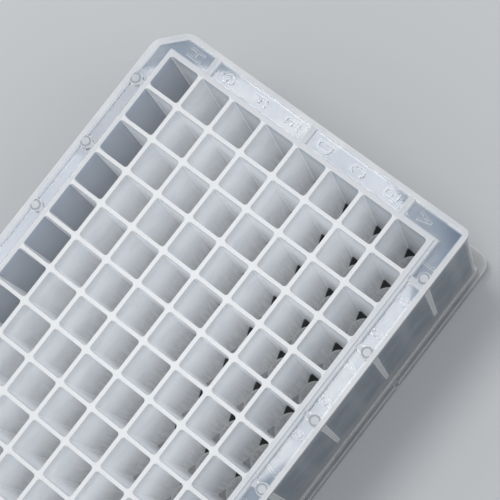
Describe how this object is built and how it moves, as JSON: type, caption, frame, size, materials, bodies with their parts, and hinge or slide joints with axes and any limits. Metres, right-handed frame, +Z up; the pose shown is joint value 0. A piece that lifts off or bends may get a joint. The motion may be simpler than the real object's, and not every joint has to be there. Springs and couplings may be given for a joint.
{
  "type": "well plate",
  "caption": "Deep rectangular plate of square wells with conical bottoms inside a ribbed skirt, with a base flange, a lettered trough and one cut corner.",
  "frame": {"origin": "on the resting plane, under the middle of the grid of wells", "axes": "+X along the rows from column 1 to column 12, +Y from row H to row A, +Z up out of the wells"},
  "size_m": [0.1278, 0.0854, 0.044],
  "materials": {
    "natural_polypropylene": "natural, slightly milky and translucent moulded polypropylene, satin to glossy"
  },
  "bodies": {
    "root": {"well_plate": "natural_polypropylene"}
  },
  "joints": []
}
